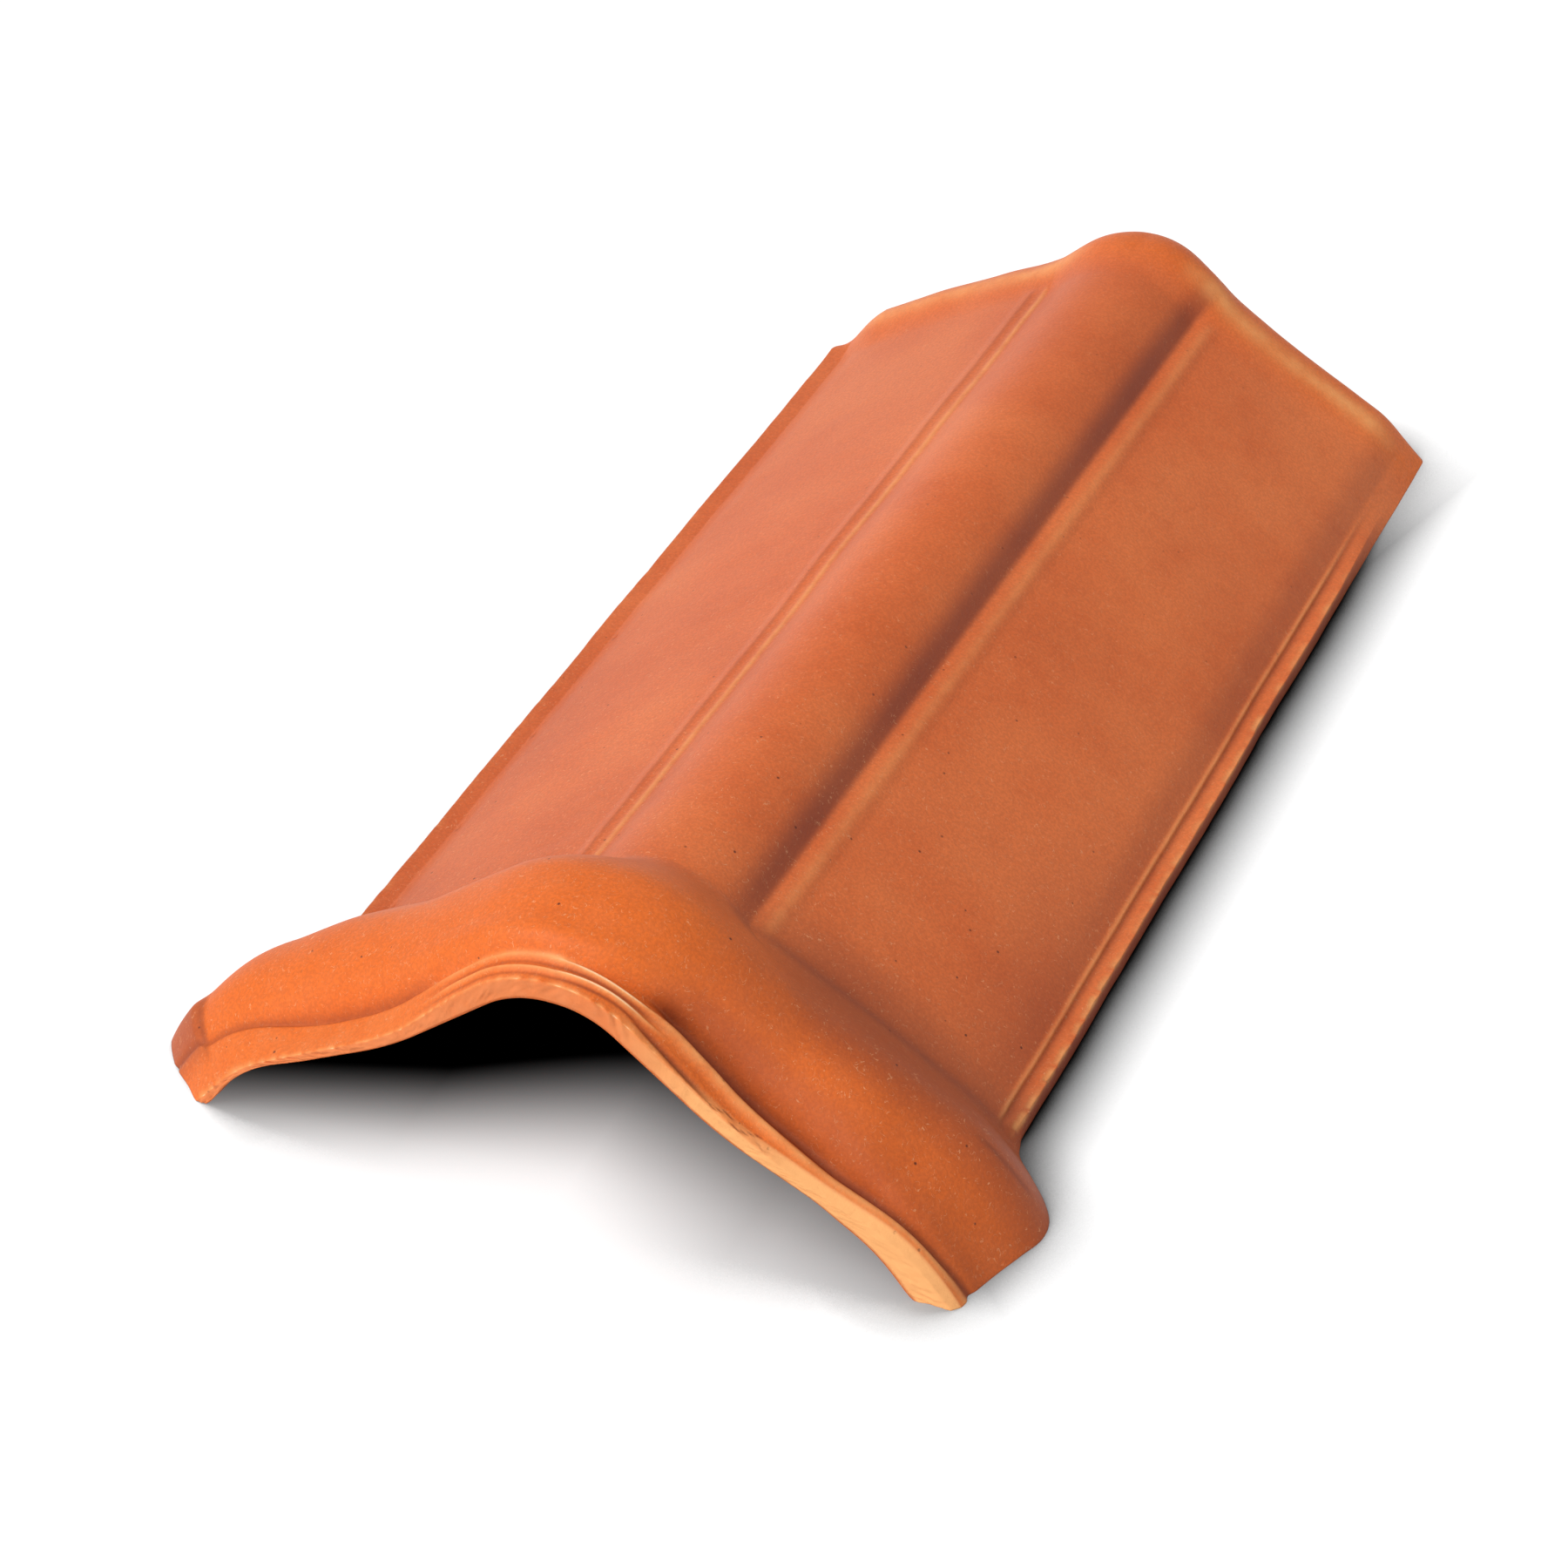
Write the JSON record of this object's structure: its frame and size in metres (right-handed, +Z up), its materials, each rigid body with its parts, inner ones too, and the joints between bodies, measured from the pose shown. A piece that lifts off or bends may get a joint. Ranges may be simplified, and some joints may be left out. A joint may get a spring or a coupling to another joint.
{
  "type": "ridge tile",
  "caption": "Collared clay ridge tile with a rounded crown, two sloping wings and a wide socket collar at one end.",
  "frame": {"origin": "centre of the tile's outline on the bedding plane", "axes": "+Y along the tile from the collar to the plain end, +Z up from the bedding plane to the crown, +X across to the right wing"},
  "size_m": [0.249, 0.45, 0.0831],
  "materials": {
    "terracotta": "matte fired clay with a thin satin slip"
  },
  "bodies": {
    "root": {"ridge_tile": "terracotta"}
  },
  "joints": []
}
